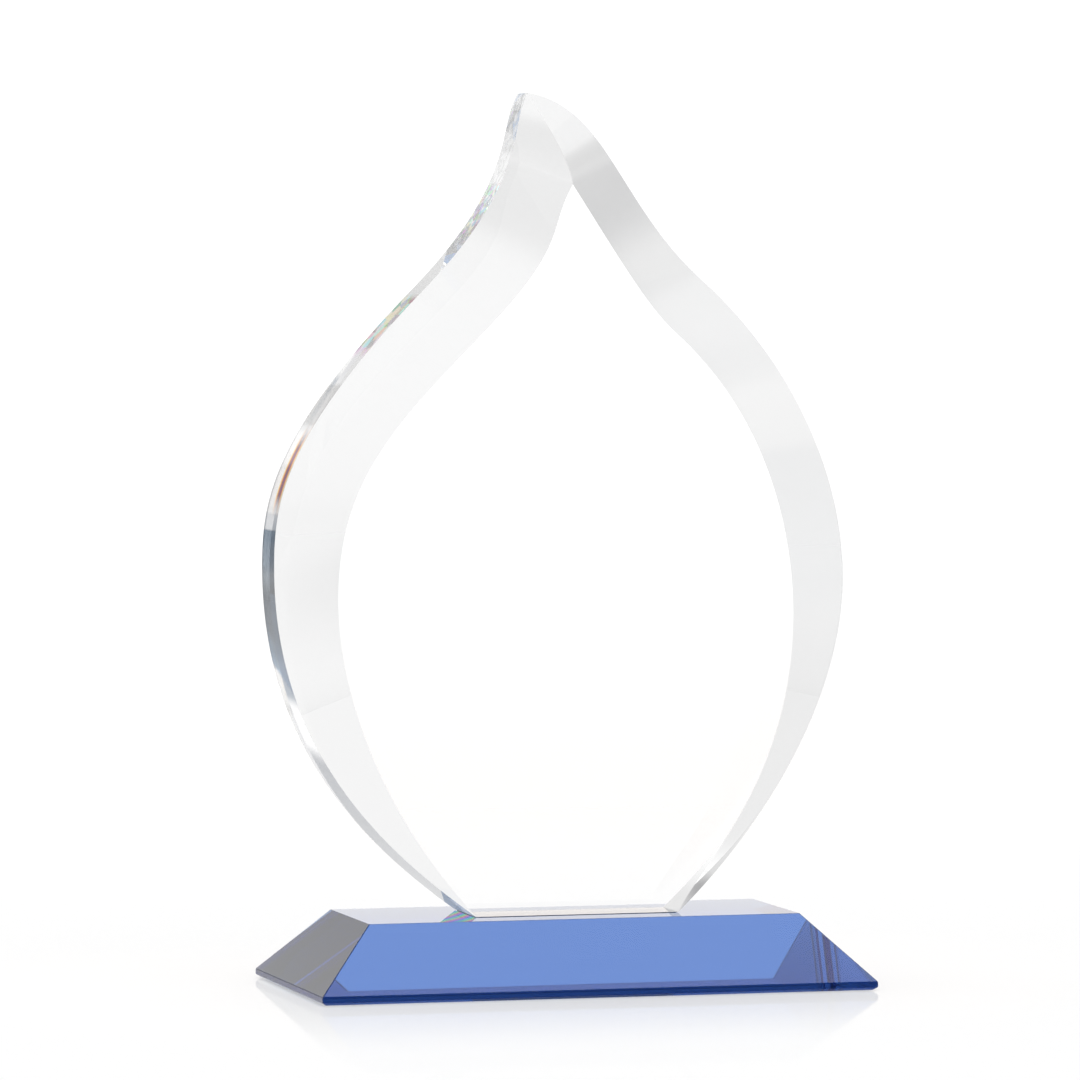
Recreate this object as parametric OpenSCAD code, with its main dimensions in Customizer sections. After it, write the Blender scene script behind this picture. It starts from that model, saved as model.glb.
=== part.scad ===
// Crystal award: a clear flame-shaped panel bonded on a sloped cobalt-blue
// block. Millimetres, +Z up, front face towards -Y. The origin is the centre
// of the block's underside.

/* [Base block] */
// Width of the block, over the upright band
base_width = 133;       // [124:1:160]
// Depth of the block, over the upright band
base_depth = 66;        // [56:1:90]
// Height of the block, underside to top face
base_height = 17;       // [12:0.5:24]
// Height of the upright band below the slopes
band_height = 2;        // [1.5:0.25:5]
// How far each of the four slopes leans in
slope_run = 14.6;       // [8:0.2:16]
// Polished arris along the underside, across
arris_run = 1;          // [0.4:0.1:1.4]
// Polished arris along the underside, upwards
arris_rise = 0.7;       // [0.3:0.1:1.2]

/* [Flame panel] */
// Width of the flame at its widest level
flame_width = 138;      // [110:1:160]
// Height of the flame above the adhesive
flame_height = 191.2;   // [150:1:230]
// Thickness of the panel
panel_thickness = 19;   // [14:0.5:25]
// Depth the bevel takes off the rim at the flame's widest level
bevel_depth = 7;        // [4:0.25:8.5]

/* [Adhesive] */
// Thickness of the bond line
film_thickness = 0.1;   // [0.1:0.05:0.3]
// How far the film stops short of the panel's front and back faces
film_margin = 0.25;     // [0:0.05:1]

/* [Smoothness] */
// Points along each side of the flame, foot to the level of the mitre
side_steps = 90;        // [40:2:140]
// Points along the mitre at the tip
mitre_steps = 20;       // [8:1:30]

/* [Hidden] */
curve_steps = 32;
film_top = base_height + film_thickness;
front_y = -panel_thickness / 2;
back_y = panel_thickness / 2;

// The flame is drawn at its nominal size and scaled to the sizes above.
nominal_width = 138;
nominal_height = 191.2;
nominal_bevel = 7;
draw_scale = [
    flame_width / nominal_width,
    bevel_depth / nominal_bevel,
    flame_height / nominal_height
];

// Half widths of the foot, left and right of the origin.
foot_left = 24;
foot_right = 25;
// Tip of the flame, and the point inside it where the two bevels meet the face.
tip = [-9, 10, nominal_height];
apex = [-1, 0, 169.9];

// Bezier control points, foot to tip: across, bevel depth at the rim, height.
rim_left = [
    [-foot_left, 0, 0], [-42, 1.8, 13.2],
    [-70.5, 6.4, 36], [-70.5, 7, 81], [-70.5, 7.2, 96],
    [-68.5, 8, 111.5], [-34.5, 8.2, 145.5], [-8.5, 8.4, 171.5],
    [-14, 9, 184], tip
];
rim_right = [
    [foot_right, 0, 0], [51, 1.8, 24],
    [67.5, 6.4, 53], [67.5, 7, 78], [67.5, 7.6, 101],
    [55.5, 7.8, 128], [33, 7.8, 147.4], [12, 7.8, 165.5],
    [10, 8.6, 188], tip
];

// Border of the flat front face, foot to the inner point.
face_left = [
    [-foot_left, 0, 0], [-48.5, 0, 26.5],
    [-57, 0, 54.5], [-57, 0, 74], [-57, 0, 101.5],
    [-44, 0, 114], [-22, 0, 136], [-2, 0, 156],
    [-7, 0, 159.5], apex
];
face_right = [
    [foot_right, 0, 0], [31, 0, 12],
    [53, 0, 30.5], [53, 0, 69.5], [53, 0, 81],
    [50.5, 0, 112.5], [24, 0, 135.5], [17, 0, 141.6],
    [9.5, 0, 154], apex
];

// Mitre where the left and right bevels meet, inner point to tip.
mitre_line = [apex, [-0.8, 2.6, 176], [-7, 7.6, 186.5], tip];

// The level of the inner point lies halfway along the rim's last arc.
rim_split = 0.5;

// Sub-part to draw

// ---------------------------------------------------------------- curves

// Point of one cubic arc at t, its four control points starting at p[k].
function arc_point(p, k, t) =
    pow(1 - t, 3) * p[k] + 3 * pow(1 - t, 2) * t * p[k + 1]
    + 3 * (1 - t) * t * t * p[k + 2] + pow(t, 3) * p[k + 3];

// Points of the chain of arcs p, from parameter t0 to t1 counted in arcs.
function chain(p, t0, t1) =
    let (
        arcs = (len(p) - 1) / 3,
        count = ceil((t1 - t0) * curve_steps)
    )
    [for (i = [0 : count])
        let (
            t = t0 + (t1 - t0) * i / count,
            k = min(floor(t), arcs - 1)
        )
        arc_point(p, 3 * k, t - k)];

// Distance along the polyline p at each of its points.
function run_lengths(p) =
    [for (i = 0, s = 0;
          i < len(p);
          s = s + (i < len(p) - 1 ? norm(p[i + 1] - p[i]) : 0), i = i + 1)
        s];

// The polyline p, divided again into n even steps.
function even(p, n) =
    let (
        s = run_lengths(p),
        total = s[len(p) - 1],
        axis_table = [for (a = [0 : 2])
            [for (i = [0 : len(p) - 1]) [s[i], p[i][a]]]]
    )
    [for (k = [0 : n])
        [for (a = [0 : 2]) lookup(total * k / n, axis_table[a])]];

function reversed(p) = [for (i = [len(p) - 1 : -1 : 0]) p[i]];
function without_first(p) = [for (i = [1 : len(p) - 1]) p[i]];
function joined(a, b) = concat(a, without_first(b));

// One side of the rim, foot to tip, in steps that match the face and mitre.
function rim_side(p) = joined(
    even(chain(p, 0, 2 + rim_split), side_steps),
    even(chain(p, 2 + rim_split, 3), mitre_steps));

// From drawing to panel: depth counted back from the front face.
function placed(p) = [
    p[0] * draw_scale[0],
    front_y + p[1] * draw_scale[1],
    film_top + p[2] * draw_scale[2]
];
function placed_back(p) = [
    p[0] * draw_scale[0],
    back_y,
    film_top + p[2] * draw_scale[2]
];

// ---------------------------------------------------------------- sub-parts

module base_block() {
    hw = base_width / 2;
    hd = base_depth / 2;
    color([0.11, 0.24, 0.66])
    intersection() {
        rotate([90, 0, 0])
        linear_extrude(height = base_depth, center = true)
        block_profile(hw);
        rotate([90, 0, 90])
        linear_extrude(height = base_width, center = true)
        block_profile(hd);
    }
}

// Section of the block: arris, upright band, slope, flat top.
module block_profile(half) {
    polygon([
        [-half + arris_run, 0],
        [half - arris_run, 0],
        [half, arris_rise],
        [half, band_height],
        [half - slope_run, base_height],
        [-half + slope_run, base_height],
        [-half, band_height],
        [-half, arris_rise]
    ]);
}

module adhesive_film() {
    length = (foot_left + foot_right) * draw_scale[0];
    middle = (foot_right - foot_left) * draw_scale[0] / 2;
    depth = panel_thickness - 2 * film_margin;
    color([0.86, 0.90, 0.95])
    translate([middle - length / 2, -depth / 2, base_height])
    cube([length, depth, film_thickness]);
}

module flame_panel() {
    side = side_steps + mitre_steps;
    last = 2 * side;

    // Rim from the left foot over the tip to the right foot.
    rim = joined(rim_side(rim_left), reversed(rim_side(rim_right)));

    // Inner edge of the left bevel: face border, then the mitre.
    inner_left = joined(
        even(chain(face_left, 0, 3), side_steps),
        even(chain(mitre_line, 0, 1), mitre_steps));
    // Inner edge of the right bevel below the mitre, which both sides share.
    inner_right = reversed(even(chain(face_right, 0, 3), side_steps));

    // Points: back of the rim, front of the rim, then the inner edges without
    // their ends, which are points of the rim.
    front = last + 1;
    inner = 2 * (last + 1);
    inner_count = side - 1;
    points = concat(
        [for (p = rim) placed_back(p)],
        [for (p = rim) placed(p)],
        [for (i = [1 : side - 1]) placed(inner_left[i])],
        [for (i = [1 : side_steps - 1]) placed(inner_right[i])]);

    // Point number of the inner edge at station i, counted round the rim.
    function inner_at(i) =
        i == 0 || i == side || i == last ? front + i
        : i < side ? inner + i - 1
        : i <= side + mitre_steps ? inner + last - i - 1
        : inner + inner_count + i - side - mitre_steps - 1;

    back_face = [for (i = [0 : last]) last - i];
    foot_face = [0, front, front + last, last];
    face_border = concat(
        [for (i = [0 : side_steps]) inner_at(i)],
        [for (i = [side + mitre_steps + 1 : last]) inner_at(i)]);
    wall = [for (i = [0 : last - 1])
        [i, i + 1, front + i + 1, front + i]];
    bevel = [for (i = [0 : last - 1])
        let (a = front + i, b = front + i + 1, c = inner_at(i + 1), d = inner_at(i))
        each concat(
            c == b ? [] : [[a, b, c]],
            d == a ? [] : [[a, c, d]])];

    color([0.92, 0.95, 0.97])
    polyhedron(
        points = points,
        faces = concat([back_face, foot_face, face_border], wall, bevel),
        convexity = 6);
}

base_block();
adhesive_film();
flame_panel();
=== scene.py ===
"""Looks of the crystal award: clear flame panel bonded on a cobalt-blue block."""

import math

import bmesh
import bpy
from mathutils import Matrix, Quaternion, Vector


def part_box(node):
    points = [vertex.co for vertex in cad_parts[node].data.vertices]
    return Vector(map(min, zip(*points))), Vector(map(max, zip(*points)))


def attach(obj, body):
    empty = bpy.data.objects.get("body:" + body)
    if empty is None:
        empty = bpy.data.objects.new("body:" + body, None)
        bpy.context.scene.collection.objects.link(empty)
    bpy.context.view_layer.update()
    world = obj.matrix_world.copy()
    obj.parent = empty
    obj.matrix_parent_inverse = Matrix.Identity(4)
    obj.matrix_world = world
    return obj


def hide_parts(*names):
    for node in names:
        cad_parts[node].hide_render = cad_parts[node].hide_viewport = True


MM = 0.001

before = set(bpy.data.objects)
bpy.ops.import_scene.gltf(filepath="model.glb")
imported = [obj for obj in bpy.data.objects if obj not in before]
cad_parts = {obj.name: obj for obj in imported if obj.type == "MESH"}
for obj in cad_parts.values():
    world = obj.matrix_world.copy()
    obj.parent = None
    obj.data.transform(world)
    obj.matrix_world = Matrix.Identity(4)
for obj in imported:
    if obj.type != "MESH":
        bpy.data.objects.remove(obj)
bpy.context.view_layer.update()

# ------------------------------------------------------------ driving values

# The flame's curves in millimetres at its drawn size: across, bevel depth at
# the rim, height above the foot. They are the CAD panel's own control points.
DRAWN_WIDTH = 138.0
DRAWN_HEIGHT = 191.2
TIP = (-9, 10, DRAWN_HEIGHT)
APEX = (-1, 0, 169.9)
RIM_LEFT = [
    (-24, 0, 0), (-42, 1.8, 13.2),
    (-70.5, 6.4, 36), (-70.5, 7, 81), (-70.5, 7.2, 96),
    (-68.5, 8, 111.5), (-34.5, 8.2, 145.5), (-8.5, 8.4, 171.5),
    (-14, 9, 184), TIP,
]
RIM_RIGHT = [
    (25, 0, 0), (51, 1.8, 24),
    (67.5, 6.4, 53), (67.5, 7, 78), (67.5, 7.6, 101),
    (55.5, 7.8, 128), (33, 7.8, 147.4), (12, 7.8, 165.5),
    (10, 8.6, 188), TIP,
]
FACE_LEFT = [
    (-24, 0, 0), (-48.5, 0, 26.5),
    (-57, 0, 54.5), (-57, 0, 74), (-57, 0, 101.5),
    (-44, 0, 114), (-22, 0, 136), (-2, 0, 156),
    (-7, 0, 159.5), APEX,
]
FACE_RIGHT = [
    (25, 0, 0), (31, 0, 12),
    (53, 0, 30.5), (53, 0, 69.5), (53, 0, 81),
    (50.5, 0, 112.5), (24, 0, 135.5), (17, 0, 141.6),
    (9.5, 0, 154), APEX,
]
MITRE = [APEX, (-0.8, 2.6, 176), (-7, 7.6, 186.5), TIP]
RIM_SPLIT = 0.5         # share of the rim's last arc below the mitre
SIDE_STEPS = 220
MITRE_STEPS = 44
ARC_STEPS = 96

PANEL_ARRIS = 0.28 * MM  # polished edge round the panel
BLOCK_ARRIS = 0.20 * MM  # polished edges of the block
WETTING = 0.02 * MM      # how far the film is sunk into the pieces it joins
FADE_WIDTH = 1.6 * MM    # the bevel's own edges have no arris where it is narrower

CLEAR_IOR = 1.52
BLUE_IOR = 1.58
LAPPING = 0.001 * MM     # height of the waviness that polishing leaves

FILM_CORNER = 1.5 * MM   # rounding of the bond line's corners
CORNER_STEPS = 6
TOP_EDGE_WEIGHT = 0.4    # the block's top edges are polished less round
FLOOR_REACH = 8.0
FLOOR_GAP = 0.15 * MM    # between the block and the table top

# Colours painted on the flame's side walls, by height: painted reflections, namely the
# slate and smoke bands and the prism streak of the left wall, and painted glints of
# broken spectra (from, to, cells per metre, strength). They are fixed to the surface and
# show from every side.
SLATE_REFLECTION = (70.5 * MM, 107 * MM)
SMOKE_REFLECTION = (131 * MM, 140.5 * MM)
PAINTED_STREAK = (110 * MM, 131 * MM)
PAINTED_STREAK_MIDDLE = 1.2 * MM
PAINTED_STREAK_HALF = 3.0 * MM
SCUFFED = (164 * MM, 182 * MM)  # where the scuffing near the tip starts and is full
PAINTED_GLINTS = (
    (148 * MM, 161 * MM, 330.0, 1.0),
    (174 * MM, 187 * MM, 750.0, 0.6),
)

# ------------------------------------------------------------ curve helpers


def arc_point(points, t):
    """Point of one cubic arc."""
    a, b, c, d = points
    u = 1 - t
    return a * u**3 + b * (3 * u * u * t) + c * (3 * u * t * t) + d * t**3


def chain(points, start, end):
    """Points of a chain of arcs between two parameters counted in arcs."""
    points = [Vector(p) for p in points]
    arcs = (len(points) - 1) // 3
    count = round((end - start) * ARC_STEPS)
    out = []
    for i in range(count + 1):
        t = start + (end - start) * i / count
        k = min(int(t), arcs - 1)
        out.append(arc_point(points[3 * k:3 * k + 4], t - k))
    return out


def even(points, steps):
    """The polyline divided again into equal steps."""
    runs = [0.0]
    for a, b in zip(points, points[1:]):
        runs.append(runs[-1] + (b - a).length)
    out = [points[0].copy()]
    k = 0
    for i in range(1, steps):
        want = runs[-1] * i / steps
        while runs[k + 1] < want:
            k += 1
        share = (want - runs[k]) / (runs[k + 1] - runs[k])
        out.append(points[k].lerp(points[k + 1], share))
    out.append(points[-1].copy())
    return out


def rim_side(points):
    """One side of the rim in steps that match the face border and mitre."""
    lower = even(chain(points, 0, 2 + RIM_SPLIT), SIDE_STEPS)
    upper = even(chain(points, 2 + RIM_SPLIT, 3), MITRE_STEPS)
    return lower + upper[1:]


# ------------------------------------------------------------ node helpers


class Graph:
    """A node tree with short hands for adding and joining nodes."""

    def __init__(self, tree):
        self.nodes, self.links = tree.nodes, tree.links
        self.nodes.clear()

    def put(self, socket, value):
        """Sets a socket to a constant or joins it to an output."""
        if isinstance(value, bpy.types.NodeSocket):
            self.links.new(value, socket)
        elif value is not None:
            socket.default_value = value

    def add(self, kind, **inputs):
        node = self.nodes.new(kind)
        for name, value in inputs.items():
            self.put(node.inputs[name.replace("_", " ")], value)
        return node

    def math(self, operation, *values):
        node = self.nodes.new("ShaderNodeMath")
        node.operation = operation
        for socket, value in zip(node.inputs, values):
            self.put(socket, value)
        return node.outputs[0]

    def vector(self, operation, *values):
        node = self.nodes.new("ShaderNodeVectorMath")
        node.operation = operation
        for socket, value in zip(node.inputs, values):
            self.put(socket, value)
        return node.outputs["Value" if operation == "LENGTH" else "Vector"]

    def times(self, *values):
        product = values[0]
        for value in values[1:]:
            product = self.math("MULTIPLY", product, value)
        return product

    def ramp(self, value, start, end, low=0.0, high=1.0):
        """Smooth change from low to high while the value runs from start to end."""
        node = self.add(
            "ShaderNodeMapRange", Value=value, From_Min=start, From_Max=end,
            To_Min=low, To_Max=high)
        node.interpolation_type = "SMOOTHSTEP"
        return node.outputs["Result"]

    def window(self, value, middle, half, soft):
        """1 within half of the middle, falling to 0 over a soft edge."""
        distance = self.math("ABSOLUTE", self.math("SUBTRACT", value, middle))
        return self.ramp(distance, half + soft, half - soft)

    def blend(self, share, first, second, label=""):
        """Colour from first to second as the share goes from 0 to 1."""
        node = self.nodes.new("ShaderNodeMix")
        node.data_type = "RGBA"
        node.label = label
        self.put(node.inputs["Factor"], share)
        self.put(node.inputs[6], first)
        self.put(node.inputs[7], second)
        return node.outputs[2]

    def colours(self, value, stops):
        """Colour ramp with stops of position and colour."""
        node = self.add("ShaderNodeValToRGB", Fac=value)
        elements = node.color_ramp.elements
        while len(elements) < len(stops):
            elements.new(1.0)
        for element, (place, colour) in zip(elements, stops):
            element.position = place
            element.color = (*colour, 1)
        return node.outputs["Color"]


def new_material(name):
    mat = bpy.data.materials.new(name)
    mat.use_nodes = True
    return mat, Graph(mat.node_tree)


def add_piece(name, bm, materials, replaced):
    """A mesh object that stands for a CAD node."""
    mesh = bpy.data.meshes.new(name)
    bm.to_mesh(mesh)
    bm.free()
    piece = bpy.data.objects.new(name, mesh)
    bpy.context.scene.collection.objects.link(piece)
    for mat in materials:
        mesh.materials.append(mat)
    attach(piece, "root")
    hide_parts(replaced)
    return piece


def add_arris(piece, width, segments, material):
    """Polishes the weighted edges of a piece into fine arrises."""
    bevel = piece.modifiers.new("arris", "BEVEL")
    bevel.limit_method = "WEIGHT"
    bevel.width = width
    bevel.segments = segments
    bevel.use_clamp_overlap = True
    bevel.harden_normals = True
    bevel.material = material


# ------------------------------------------------------------ materials


WHITE = (1, 1, 1, 1)


def crystal(name, index, absorbed, density, waviness, tint=WHITE, glint=WHITE,
            clarity=1.0, paint=None, frost=None):
    """Polished crystal: clear surface, colour taken up inside, faint polish marks."""
    mat, graph = new_material(name)
    coords = graph.add("ShaderNodeTexCoord").outputs["Object"]
    if paint:
        tint = paint(graph, coords)
    if frost:
        clarity = frost(graph, coords)
    # Lapping leaves a long, very shallow waviness.
    wave = graph.add("ShaderNodeTexNoise", Vector=coords, Scale=24.0, Detail=1.0)
    bump = graph.add(
        "ShaderNodeBump", Strength=1.0, Distance=waviness, Height=wave.outputs["Fac"])
    shader = graph.add(
        "ShaderNodeBsdfPrincipled",
        Base_Color=tint, Roughness=0.0, IOR=index, Transmission_Weight=clarity,
        Specular_Tint=glint, Normal=bump.outputs["Normal"])
    inside = graph.add("ShaderNodeVolumeAbsorption", Color=absorbed, Density=density)
    graph.add(
        "ShaderNodeOutputMaterial",
        Surface=shader.outputs["BSDF"], Volume=inside.outputs["Volume"])
    return mat


def left_side(graph, x):
    """1 on the flame's left side, 0 on its right."""
    return graph.ramp(x, 5 * MM, -5 * MM)


def paint_wall_reflections(graph, coords):
    """Painted reflections on the polished side walls: dark bands, a prism streak, and
    painted glints of broken spectra.
    """
    place = graph.add("ShaderNodeSeparateXYZ", Vector=coords)
    x, y, z = (place.outputs[axis] for axis in "XYZ")
    left = left_side(graph, x)

    # Painted slate reflection on the left wall, sharp above and fading to blue below,
    # where it leans, with fine upright streaks in it.
    reflection_streaks = graph.add(
        "ShaderNodeTexNoise", Scale=900.0, Detail=2.0,
        Vector=graph.add(
            "ShaderNodeMapping", Vector=coords, Scale=(1, 1, 0.12)).outputs["Vector"])
    slate_reflection = graph.colours(
        reflection_streaks.outputs["Fac"],
        ((0.35, (0.06, 0.09, 0.13)), (0.65, (0.12, 0.16, 0.20))))
    leaning = graph.math("SUBTRACT", z, graph.times(y, 0.5))
    slate_reflection = graph.blend(
        graph.ramp(leaning, SLATE_REFLECTION[0] + 12 * MM, SLATE_REFLECTION[0]), slate_reflection,
        (0.10, 0.25, 0.50, 1), "painted reflection, blue end")
    share = graph.times(
        left,
        graph.ramp(z, SLATE_REFLECTION[1] + 0.3 * MM, SLATE_REFLECTION[1] - 0.3 * MM),
        graph.ramp(leaning, SLATE_REFLECTION[0] - 1 * MM, SLATE_REFLECTION[0] + 1.5 * MM))
    colour = graph.blend(share, WHITE, slate_reflection, "painted slate reflection")
    # Painted smoke-grey reflection across the left wall, a band by height.
    smoke_reflection_middle, smoke_reflection_half = sum(SMOKE_REFLECTION) / 2, (SMOKE_REFLECTION[1] - SMOKE_REFLECTION[0]) / 2
    share = graph.times(left, graph.window(z, smoke_reflection_middle, smoke_reflection_half, 0.6 * MM))
    colour = graph.blend(share, colour, (0.45, 0.44, 0.43, 1), "painted smoke reflection")

    # A long prism streak above it, painted: a dark middle with red, orange and yellow
    # fringes standing in for light split by the crystal.
    aside = graph.math("ABSOLUTE", graph.math("SUBTRACT", y, PAINTED_STREAK_MIDDLE))
    across = graph.math("DIVIDE", aside, PAINTED_STREAK_HALF)
    spectrum = graph.colours(across, (
        (0.0, (0.0, 0.0, 0.01)), (0.38, (0.10, 0.0, 0.0)),
        (0.56, (0.85, 0.10, 0.0)), (0.78, (1.0, 0.60, 0.05)), (1.0, (1, 1, 1))))
    share = graph.times(
        left,
        graph.ramp(z, PAINTED_STREAK[0] - 1 * MM, PAINTED_STREAK[0] + 5 * MM),
        graph.ramp(z, PAINTED_STREAK[1] + 2 * MM, PAINTED_STREAK[1] - 5 * MM))
    colour = graph.blend(share, colour, spectrum, "prism streak")

    # Small broken spectra where the wall curls in towards the tip: painted glints.
    for low, high, scale, strength in PAINTED_GLINTS:
        cells = graph.add("ShaderNodeTexVoronoi", Vector=coords, Scale=scale)
        parts = graph.add("ShaderNodeSeparateColor", Color=cells.outputs["Color"])
        hues = graph.add("ShaderNodeCombineColor")
        hues.mode = "HSV"
        graph.put(hues.inputs[0], parts.outputs[0])
        graph.put(hues.inputs[1], graph.ramp(parts.outputs[1], 0.0, 1.0, 0.1, 0.9))
        graph.put(hues.inputs[2], graph.ramp(parts.outputs[2], 0.1, 0.6, 0.25, 1.0))
        share = graph.times(
            graph.ramp(z, low - 2 * MM, low + 2 * MM),
            graph.ramp(z, high + 1 * MM, high - 1 * MM), strength)
        colour = graph.blend(share, colour, hues.outputs["Color"], "painted spectral glints")
    return colour


def frost_wall(graph, coords):
    """Clear share of the walls: the left one is finely scuffed near the tip."""
    place = graph.add("ShaderNodeSeparateXYZ", Vector=coords)
    scuffs = graph.add("ShaderNodeTexNoise", Vector=coords, Scale=420.0, Detail=3.0)
    return graph.math("SUBTRACT", 1.0, graph.times(
        left_side(graph, place.outputs["X"]),
        graph.ramp(place.outputs["Z"], *SCUFFED),
        graph.ramp(scuffs.outputs["Fac"], 0.35, 0.65, 0.35, 0.85)))


def paint_arris_shade(graph, coords):
    """Painted shade: dark lines painted on the arrises along the back and the left wall,
    clear ones round the face.
    """
    place = graph.add("ShaderNodeSeparateXYZ", Vector=coords)
    left = left_side(graph, place.outputs["X"])
    walls = graph.ramp(place.outputs["Y"], -9.2 * MM, -7.5 * MM)
    back = graph.ramp(place.outputs["Y"], 8.0 * MM, 8.8 * MM)
    colour = graph.blend(back, WHITE, (0.16, 0.16, 0.18, 1), "painted shade, back edge line")
    return graph.blend(
        graph.times(left, walls), colour, (0.05, 0.05, 0.06, 1), "painted shade, left edge line")


# ------------------------------------------------------------ pieces


def build_flame():
    low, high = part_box("flame_panel")
    scale_x = (high[0] - low[0]) / DRAWN_WIDTH
    scale_z = (high[2] - low[2]) / DRAWN_HEIGHT

    def placed(p, y=None):
        depth = low[1] + p[1] * MM if y is None else y
        return Vector((p[0] * scale_x, depth, low[2] + p[2] * scale_z))

    side = SIDE_STEPS + MITRE_STEPS
    last = 2 * side
    left, right = rim_side(RIM_LEFT), rim_side(RIM_RIGHT)
    rim = left + right[::-1][1:]
    mitre = even(chain(MITRE, 0, 1), MITRE_STEPS)
    inner_left = even(chain(FACE_LEFT, 0, 3), SIDE_STEPS) + mitre[1:]
    inner_right = even(chain(FACE_RIGHT, 0, 3), SIDE_STEPS)

    bm = bmesh.new()
    weight = bm.edges.layers.float.new("bevel_weight_edge")
    back = [bm.verts.new(placed(p, high[1])) for p in rim]
    front = [bm.verts.new(placed(p)) for p in rim]
    inner = [front[0]]
    inner += [bm.verts.new(placed(p)) for p in inner_left[1:-1]]
    inner.append(front[side])
    inner += inner[::-1][1:MITRE_STEPS + 1]
    inner += [bm.verts.new(placed(p)) for p in inner_right[::-1][1:-1]]
    inner.append(front[last])

    bm.faces.new(back[::-1])
    bm.faces.new((back[0], front[0], front[last], back[last]))
    bm.faces.new(inner[:SIDE_STEPS + 1] + inner[side + MITRE_STEPS + 1:])
    for i in range(last):
        wall = bm.faces.new((back[i], back[i + 1], front[i + 1], front[i]))
        wall.material_index = 1
        ring = [front[i], front[i + 1], inner[i + 1], inner[i]]
        corners = [v for k, v in enumerate(ring) if v not in ring[:k]]
        bm.faces.new(corners)
    bmesh.ops.recalc_face_normals(bm, faces=bm.faces)

    for face in bm.faces:
        face.smooth = True
    wide = [
        (a.co - b.co).length > FADE_WIDTH for a, b in zip(front, inner)]

    def crease(a, b, arris):
        edge = bm.edges.get((a, b))
        edge.smooth = False
        edge[weight] = 1.0 if arris else 0.0

    for i in range(last):
        crease(back[i], back[i + 1], True)
        crease(front[i], front[i + 1], wide[i] and wide[i + 1])
        if i < SIDE_STEPS or i >= side + MITRE_STEPS:
            crease(inner[i], inner[i + 1], wide[i] and wide[i + 1])
        elif i < side:
            crease(inner[i], inner[i + 1], False)
    crease(front[side], back[side], True)
    for a, b in ((back[0], front[0]), (back[last], front[last]),
                 (front[0], front[last]), (back[0], back[last])):
        crease(a, b, False)

    clear = dict(absorbed=(0.79, 0.79, 0.77, 1), density=0.6, waviness=LAPPING)
    materials = [
        crystal("clear_crystal", CLEAR_IOR, **clear),
        # The side walls carry painted reflections and painted glints.
        crystal(
            "clear_wall_painted_light", CLEAR_IOR, paint=paint_wall_reflections, frost=frost_wall, **clear),
        # The arrises carry painted shade: dark edge lines.
        crystal("clear_arris_painted_shade", CLEAR_IOR, paint=paint_arris_shade, **clear)]
    piece = add_piece("flame", bm, materials, "flame_panel")
    add_arris(piece, PANEL_ARRIS, 2, 2)
    return piece


def block_levels():
    """The CAD block's outline: half width and half depth at each level."""
    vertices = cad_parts["base_block"].data.vertices
    levels = {}
    for vertex in vertices:
        x, y, z = vertex.co
        level = round(z / MM, 3) * MM
        reach = levels.get(level, (0, 0))
        levels[level] = (max(reach[0], abs(x)), max(reach[1], abs(y)))
    return sorted((z, *reach) for z, reach in levels.items())


def build_block():
    bm = bmesh.new()
    weight = bm.edges.layers.float.new("bevel_weight_edge")
    rings = []
    for z, half_x, half_y in block_levels():
        rings.append([
            bm.verts.new((sx * half_x, sy * half_y, z))
            for sx, sy in ((-1, -1), (1, -1), (1, 1), (-1, 1))])
    for lower, upper in zip(rings, rings[1:]):
        for i in range(4):
            j = (i + 1) % 4
            bm.faces.new((lower[i], lower[j], upper[j], upper[i]))
    bm.faces.new(rings[0][::-1])
    bm.faces.new(rings[-1])
    bmesh.ops.recalc_face_normals(bm, faces=bm.faces)
    for face in bm.faces:
        face.smooth = True
        # Front upright faces: painted shade, a darker copy of the blue crystal.
        if face.normal.y < -0.99:
            face.material_index = 1
        # Lower front arris: painted light, a copy with dulled reflection and green tint
        # for a bright blue line.
        elif face.normal.z < -0.1 and face.normal.y < -0.1:
            face.material_index = 2
    for edge in bm.edges:
        edge.smooth = False
        edge[weight] = 1.0
    for vertex in rings[-1]:
        for edge in vertex.link_edges:
            if all(end in rings[-1] for end in edge.verts):
                edge[weight] = TOP_EDGE_WEIGHT

    blue = dict(absorbed=(0.13, 0.47, 0.825, 1), density=60.0, waviness=LAPPING)
    materials = [
        crystal("blue_crystal", BLUE_IOR, **blue),
        # Painted shade on the front band and the arrises: darker purple tint, reflection
        # dimmed and tinted blue.
        crystal(
            "blue_band_painted_shade", BLUE_IOR, tint=(0.30, 0.25, 0.33, 1),
            glint=(0.15, 0.30, 0.60, 1), **blue),
        # Painted light on the lower front lip: greenish tint, reflection dulled.
        crystal(
            "blue_lip_painted_light", BLUE_IOR, tint=(0.8, 1.0, 0.95, 1),
            glint=(0.05, 0.15, 0.10, 1), **blue)]
    piece = add_piece("blue_block", bm, materials, "base_block")
    # The block's arrises take the painted-shade copy too: dark edge lines painted in.
    add_arris(piece, BLOCK_ARRIS, 1, 1)
    return piece


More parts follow.
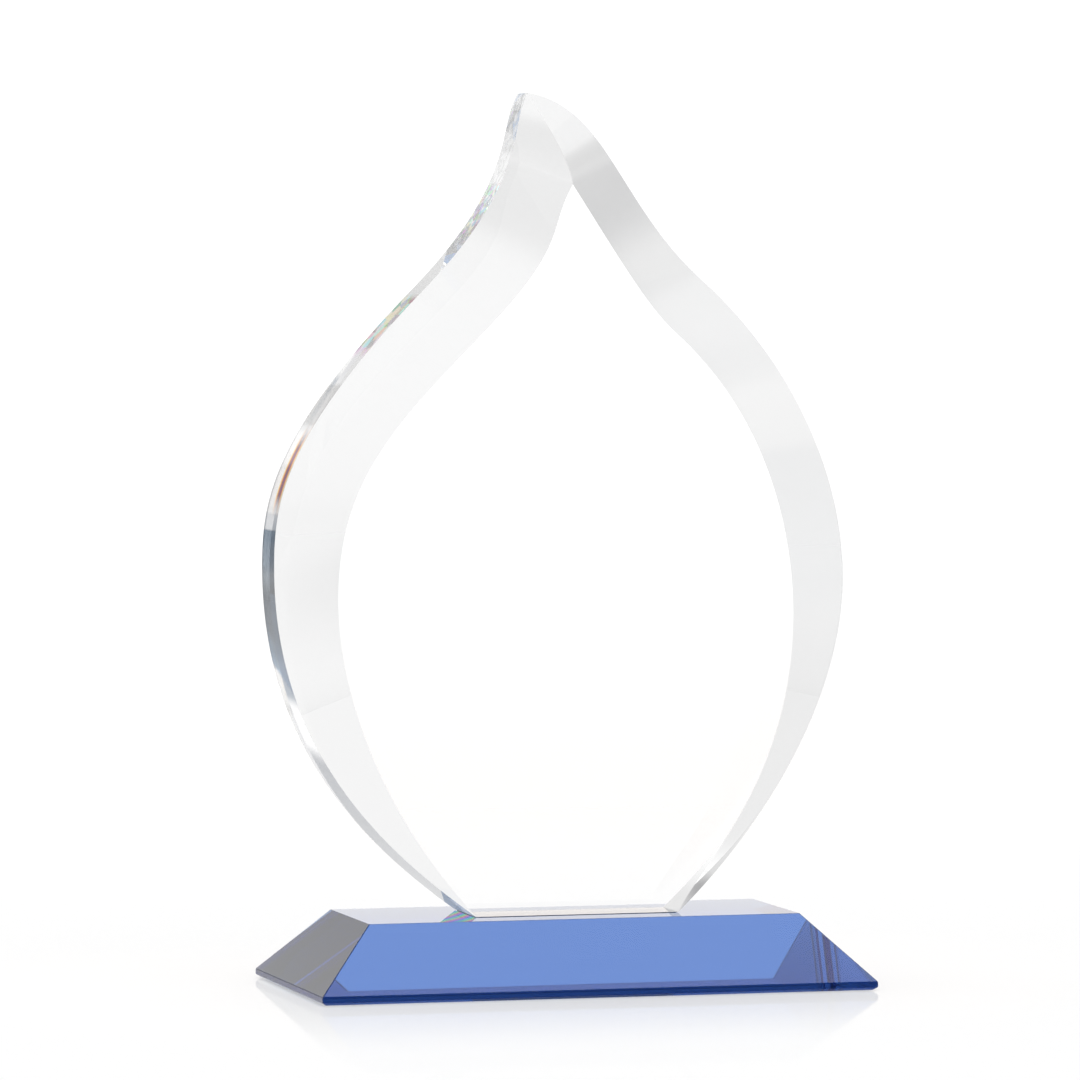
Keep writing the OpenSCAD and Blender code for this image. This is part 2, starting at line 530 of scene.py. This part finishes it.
def build_film():
    """The bond line, with rounded corners where the adhesive wets the edge."""
    low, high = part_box("adhesive_film")
    near_x, near_y = low[0] + FILM_CORNER, low[1] + FILM_CORNER
    far_x, far_y = high[0] - FILM_CORNER, high[1] - FILM_CORNER
    outline = []
    for x, y, first in ((near_x, near_y, 180), (far_x, near_y, 270),
                        (far_x, far_y, 0), (near_x, far_y, 90)):
        for k in range(CORNER_STEPS + 1):
            turn = math.radians(first + 90 * k / CORNER_STEPS)
            outline.append((
                x + FILM_CORNER * math.cos(turn), y + FILM_CORNER * math.sin(turn)))
    bm = bmesh.new()
    # It wets both pieces: its faces lie just inside theirs.
    bottom = [bm.verts.new((x, y, low[2] - WETTING)) for x, y in outline]
    top = [bm.verts.new((x, y, high[2] + WETTING)) for x, y in outline]
    bm.faces.new(bottom[::-1])
    bm.faces.new(top)
    count = len(outline)
    for i in range(count):
        j = (i + 1) % count
        rim = bm.faces.new((bottom[i], bottom[j], top[j], top[i]))
        rim.material_index = 1
    cured = dict(absorbed=(0.1, 0.15, 0.45, 1), density=600.0, waviness=LAPPING)
    materials = [
        crystal("clear_adhesive", CLEAR_IOR, clarity=0.25, **cured),
        crystal("adhesive_rim", CLEAR_IOR, tint=(0.25, 0.26, 0.32, 1), **cured)]
    return add_piece("bond_film", bm, materials, "adhesive_film")


# ------------------------------------------------------------ studio


def build_floor():
    """A large pale glossy table top, just under the block."""
    bm = bmesh.new()
    bmesh.ops.create_grid(bm, x_segments=1, y_segments=1, size=FLOOR_REACH)
    mesh = bpy.data.meshes.new("floor")
    bm.to_mesh(mesh)
    bm.free()
    floor = bpy.data.objects.new("floor", mesh)
    floor.location.z = -FLOOR_GAP
    bpy.context.scene.collection.objects.link(floor)

    mat, graph = new_material("table_top")
    matte = graph.add("ShaderNodeBsdfDiffuse", Color=(0.510, 0.510, 0.520, 1))
    glow = graph.add("ShaderNodeEmission", Color=(1, 1, 1, 1), Strength=0.50)
    body = graph.nodes.new("ShaderNodeAddShader")
    graph.put(body.inputs[0], matte.outputs["BSDF"])
    graph.put(body.inputs[1], glow.outputs["Emission"])

    # The award mirrors faintly right in front of its edges; the table is satin
    # round it and glossy further out.
    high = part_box("base_block")[1]
    coords = graph.add("ShaderNodeTexCoord").outputs["Object"]
    mirrored = graph.vector("ABSOLUTE", coords)
    beyond = graph.vector("SUBTRACT", mirrored, (high[0], high[1], 1.0))
    beyond = graph.vector("MAXIMUM", beyond, (0, 0, 0))
    distance = graph.vector("LENGTH", beyond)
    near = graph.ramp(distance, 0.0, 0.10, 0.40, 0.04)
    far = graph.ramp(distance, 0.15, 0.50, 0.0, 0.96)
    sheen = graph.add("ShaderNodeFresnel", IOR=1.45).outputs["Fac"]
    gloss = graph.add(
        "ShaderNodeBsdfAnisotropic", Color=(1, 1, 1, 1), Roughness=0.05)
    blend = graph.nodes.new("ShaderNodeMixShader")
    graph.put(blend.inputs["Fac"], graph.times(sheen, graph.math("ADD", near, far)))
    graph.put(blend.inputs[1], body.outputs["Shader"])
    graph.put(blend.inputs[2], gloss.outputs["BSDF"])
    graph.add("ShaderNodeOutputMaterial", Surface=blend.outputs["Shader"])
    mesh.materials.append(mat)


# Studio cards and lights, seen from the award: name, azimuth from the backdrop
# towards +X (from, to), height above the horizon (from, to), softness of the
# upright and of the level edges, all in degrees, and brightness. Later cards
# stand in front of earlier ones. All are placed for the photograph's view.
CARDS = (
    ("ceiling softbox", (-180, 180), (62, 99), 1, 6, (1.98, 2.02, 1.96)),
    ("backdrop top", (-40, 90), (22, 57), 4, 3, (0.60, 0.56, 0.48)),
    ("backdrop", (-16, 48), (-99, 22), 2, 3, (0.94, 0.94, 0.94)),
    ("backdrop, upper", (20, 48), (5.5, 22), 3, 2, (0.88, 0.88, 0.88)),
    ("backdrop end", (28.9, 48), (2.8, 22), 1, 2, (0.69, 0.69, 0.69)),
    ("backdrop shoulder", (-4, 7), (-99, 22), 2, 3, (0.86, 0.86, 0.86)),
    ("backdrop shoulder, upper", (-4, 16), (6.5, 22), 2, 2.5, (0.73, 0.73, 0.73)),
    ("backdrop light", (9, 21), (-99, 4), 3, 1.5, (1.2, 1.2, 1.2)),
    ("backdrop light, upper", (9, 21), (4, 12), 3, 1.5, (1.14, 1.09, 1.06)),
    ("dark flag", (0.4, 4.0), (12.3, 19), 1.2, 1.5, (0.04, 0.04, 0.04)),
    ("grey flag", (-1.6, 0.9), (9.8, 14.0), 1.2, 1.2, (0.06, 0.06, 0.07)),
    ("post", (9.6, 13.7), (-0.6, 10.5), 0.3, 0.6, (0.12, 0.15, 0.19)),
    ("strip light", (-16, -7), (3, 22), 1, 0.3, (1.1, 1.1, 1.1)),
    ("strip light, lower", (-16, -10), (3, 9), 1, 0.5, (0.66, 0.66, 0.66)),
    ("strip light, upper", (-5.8, -0.6), (13.2, 22), 0.8, 0.8, (0.80, 0.80, 0.80)),
    ("slate card", (-70, -12.2), (-99, 3), 0.4, 0.3, (0.22, 0.26, 0.32)),
    ("black card", (64, 88), (1, 13), 3, 1, (0.02, 0.02, 0.02)),
    ("side shade", (88, 110.5), (1, 36), 3, 2.5, (0.16, 0.16, 0.17)),
    ("side grey", (111, 120), (-2, 14), 0.5, 1, (0.24, 0.30, 0.38)),
    ("side strip", (111, 120), (14, 22), 0.5, 1.5, (1.1, 1.1, 1.1)),
    ("side upper", (111, 124), (22, 50), 0.5, 2, (0.26, 0.28, 0.32)),
    ("studio front", (130, 230), (-99, 14), 4, 4, (0.30, 0.30, 0.32)),
)
SURROUND = (0.80, 0.80, 0.82)
UNREFLECTED = ("post",)  # cards that only show through the crystal
SPECTRUM_CARD = ((111, 125), (50, 56), 0.5, 0.5)


def build_world():
    """White surround with softboxes and flags that draw the crystal's edges."""
    world = bpy.data.worlds.new("studio")
    bpy.context.scene.world = world
    world.use_nodes = True
    graph = Graph(world.node_tree)

    path = graph.add("ShaderNodeLightPath")
    coords = graph.add("ShaderNodeTexCoord").outputs["Generated"]
    split = graph.add("ShaderNodeSeparateXYZ", Vector=coords)
    azimuth = graph.math(
        "DEGREES", graph.math("ARCTAN2", split.outputs["X"], split.outputs["Y"]))
    height = graph.math("DEGREES", graph.math("ARCSINE", split.outputs["Z"]))

    def card(across, up, side_soft, level_soft):
        turned = graph.math(
            "WRAP", graph.math("SUBTRACT", azimuth, sum(across) / 2), 180.0, -180.0)
        return graph.times(
            graph.window(turned, 0.0, (across[1] - across[0]) / 2, side_soft),
            graph.window(height, sum(up) / 2, (up[1] - up[0]) / 2, level_soft))

    colour = (*SURROUND, 1)
    for name, across, up, side_soft, level_soft, bright in CARDS:
        mask = card(across, up, side_soft, level_soft)
        if name in UNREFLECTED:
            mask = graph.times(mask, path.outputs["Is Transmission Ray"])
        colour = graph.blend(mask, colour, (*bright, 1), name)

    # A card with a prism's spectrum, for the block's top face beside the flame.
    hues = graph.add("ShaderNodeCombineColor")
    hues.mode = "HSV"
    graph.put(hues.inputs[0], graph.math(
        "FRACT", graph.math("ADD", graph.times(height, 1.3), graph.times(azimuth, 0.7))))
    graph.put(hues.inputs[1], 0.8)
    graph.put(hues.inputs[2], 0.9)
    colour = graph.blend(
        card(*SPECTRUM_CARD), colour, hues.outputs["Color"], "spectrum")

    studio = graph.add("ShaderNodeBackground", Color=colour, Strength=1.0)
    graph.add("ShaderNodeOutputWorld", Surface=studio.outputs["Background"])


CAMERA_TARGET = (-0.0061, 0.0, 0.1041)
CAMERA_DISTANCE = 1.6494
CAMERA_ANGLES = (15.68, 2.53, 0.095)  # yaw, downward pitch and roll in degrees
CAMERA_LENS = 235.5
LIGHT_BOUNCES = 72  # fewer leave black patches where the walls meet at the tip


def add_camera():
    yaw, pitch, roll = (math.radians(angle) for angle in CAMERA_ANGLES)
    forward = Vector((
        math.sin(yaw) * math.cos(pitch),
        math.cos(yaw) * math.cos(pitch),
        -math.sin(pitch)))
    data = bpy.data.cameras.new("camera")
    data.sensor_width = 36.0
    data.lens = CAMERA_LENS
    camera = bpy.data.objects.new("camera", data)
    camera.location = Vector(CAMERA_TARGET) - forward * CAMERA_DISTANCE
    camera.rotation_mode = "QUATERNION"
    camera.rotation_quaternion = (
        forward.to_track_quat("-Z", "Y") @ Quaternion((0, 0, 1), roll))
    bpy.context.scene.collection.objects.link(camera)
    bpy.context.scene.camera = camera


def set_light_paths():
    """Long light paths for crystal, and colours shown without a film curve."""
    scene = bpy.context.scene
    scene.view_settings.view_transform = "Standard"
    scene.view_settings.look = "None"
    scene.cycles.max_bounces = LIGHT_BOUNCES
    scene.cycles.transmission_bounces = LIGHT_BOUNCES
    scene.cycles.glossy_bounces = LIGHT_BOUNCES
    scene.cycles.diffuse_bounces = 3
    scene.cycles.use_denoising = True


add_camera()
build_world()
build_floor()
build_flame()
build_film()
build_block()
set_light_paths()

bpy.context.view_layer.update()
